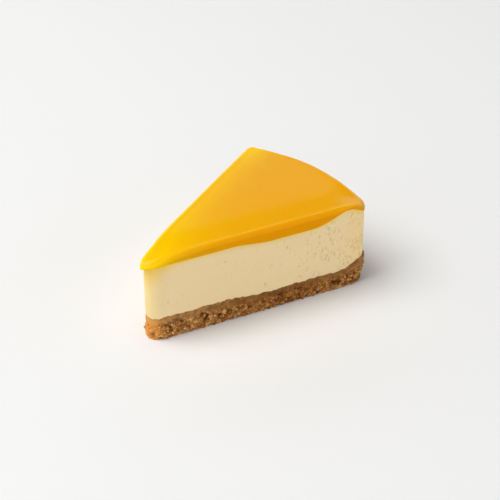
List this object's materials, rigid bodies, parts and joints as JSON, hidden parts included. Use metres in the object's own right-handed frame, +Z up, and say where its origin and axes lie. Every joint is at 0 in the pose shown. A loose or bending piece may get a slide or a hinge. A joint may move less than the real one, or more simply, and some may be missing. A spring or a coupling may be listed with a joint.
{
  "type": "slice of baked cheesecake",
  "caption": "Wedge of baked cheesecake as cut from a round cake: crumbly biscuit base, pale smooth cream filling and a glossy yellow fruit glaze with soft edges, standing on its flat base.",
  "frame": {"origin": "on the table, under the middle of the slice's footprint box", "axes": "+Z up; +X along the slice's length, from its point to its curved rim; the near cut face is on the -Y side"},
  "size_m": [0.1188, 0.0804, 0.046],
  "materials": {
    "biscuit": "rough pressed biscuit crumb",
    "cream": "smooth baked cream with small air holes",
    "glaze": "glossy set fruit jelly"
  },
  "bodies": {
    "root": {"biscuit_base": "biscuit", "cream_filling": "cream", "fruit_glaze": "glaze"}
  },
  "joints": []
}
